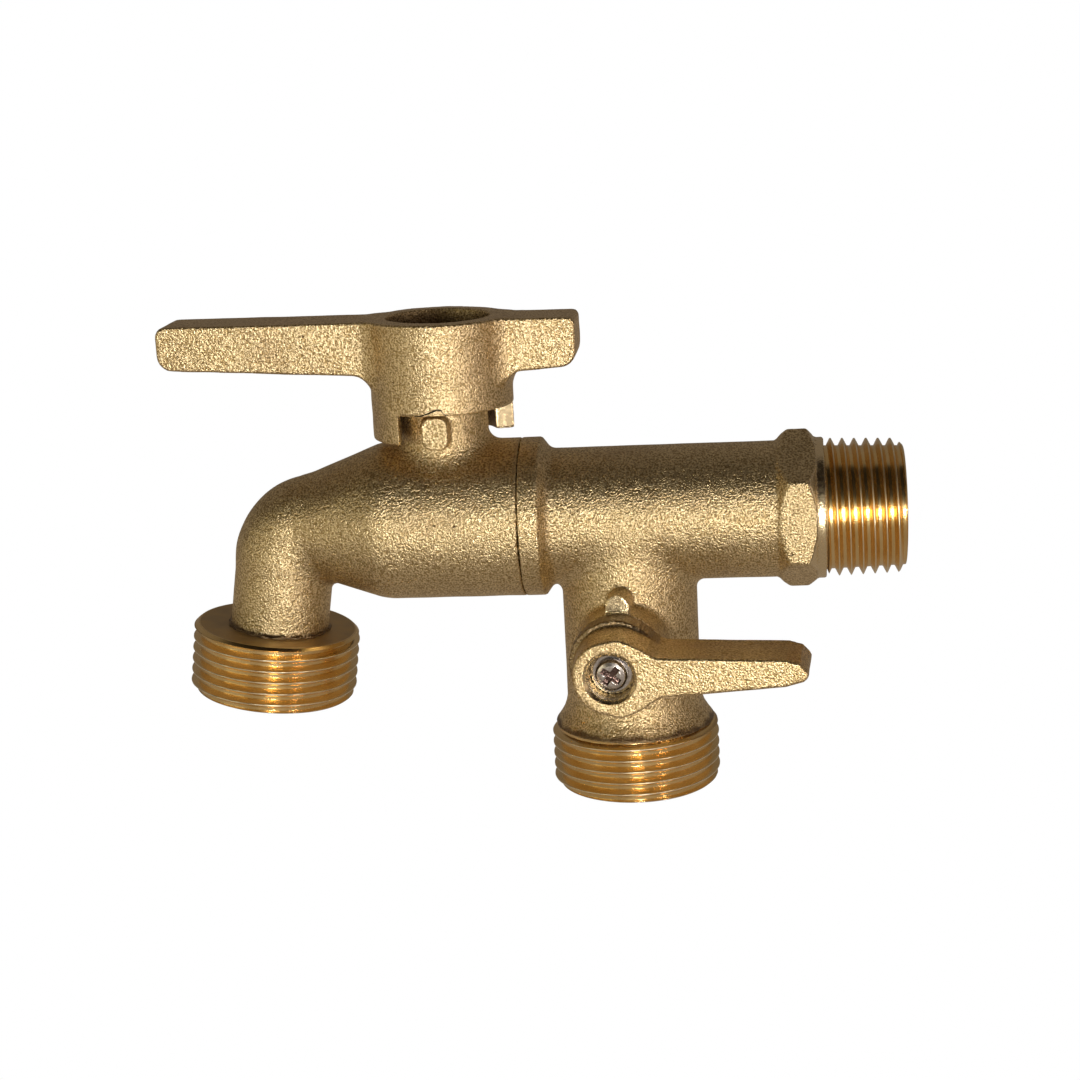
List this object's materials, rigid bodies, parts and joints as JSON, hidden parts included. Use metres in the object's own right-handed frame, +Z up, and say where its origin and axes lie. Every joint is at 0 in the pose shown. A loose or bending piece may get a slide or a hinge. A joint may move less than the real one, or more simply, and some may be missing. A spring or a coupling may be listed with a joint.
{
  "type": "hose bib",
  "caption": "Garden tap that branches off a threaded inlet: a T-handled ball valve opens the spout, and a small side lever opens a second hose outlet in the tee.",
  "frame": {"origin": "centre of the inlet's open end face, on the run's axis", "axes": "+X out of the inlet, along the axis of the run; +Z up, along the main valve's stem; -Y is the side of the branch lever"},
  "size_m": [0.1138, 0.0414, 0.0758],
  "materials": {
    "cast_brass": "sand cast and blasted, dull, fine grain",
    "turned_brass": "turned bright",
    "chromed_brass": "polished plating",
    "stainless_steel": "bright, slightly worn",
    "ptfe": "white, waxy",
    "nitrile_rubber": "matt black"
  },
  "bodies": {
    "housing": {"inlet_tee_body": "cast_brass", "spout_body": "cast_brass", "body_joint_seal": "nitrile_rubber", "main_seat_inlet_side": "ptfe", "main_seat_spout_side": "ptfe", "main_stem_thrust_washer": "ptfe", "branch_seat_upper": "ptfe", "branch_seat_lower": "ptfe", "branch_ball_retainer": "turned_brass", "branch_stem_thrust_washer": "ptfe"},
    "main_spindle": {"main_ball": "chromed_brass", "main_stem": "turned_brass", "main_stem_oring_lower": "nitrile_rubber", "main_stem_oring_upper": "nitrile_rubber", "main_handle": "cast_brass", "main_handle_washer": "stainless_steel", "main_handle_screw": "stainless_steel"},
    "branch_spindle": {"branch_ball": "chromed_brass", "branch_stem": "turned_brass", "branch_stem_oring_inner": "nitrile_rubber", "branch_stem_oring_outer": "nitrile_rubber", "branch_lever": "cast_brass", "branch_lever_washer": "stainless_steel", "branch_lever_screw": "stainless_steel"}
  },
  "joints": [
    {"name": "main_valve_turn", "type": "hinge", "parent": "housing", "child": "main_spindle", "pos_m": [-0.0704, 0, 0.02], "axis": [0, 0, 1], "range_deg": [-90, 0]},
    {"name": "branch_valve_turn", "type": "hinge", "parent": "housing", "child": "branch_spindle", "pos_m": [-0.0427, 0, -0.0188], "axis": [-0.0732, -0.9973, 0], "range_deg": [0, 90]}
  ]
}
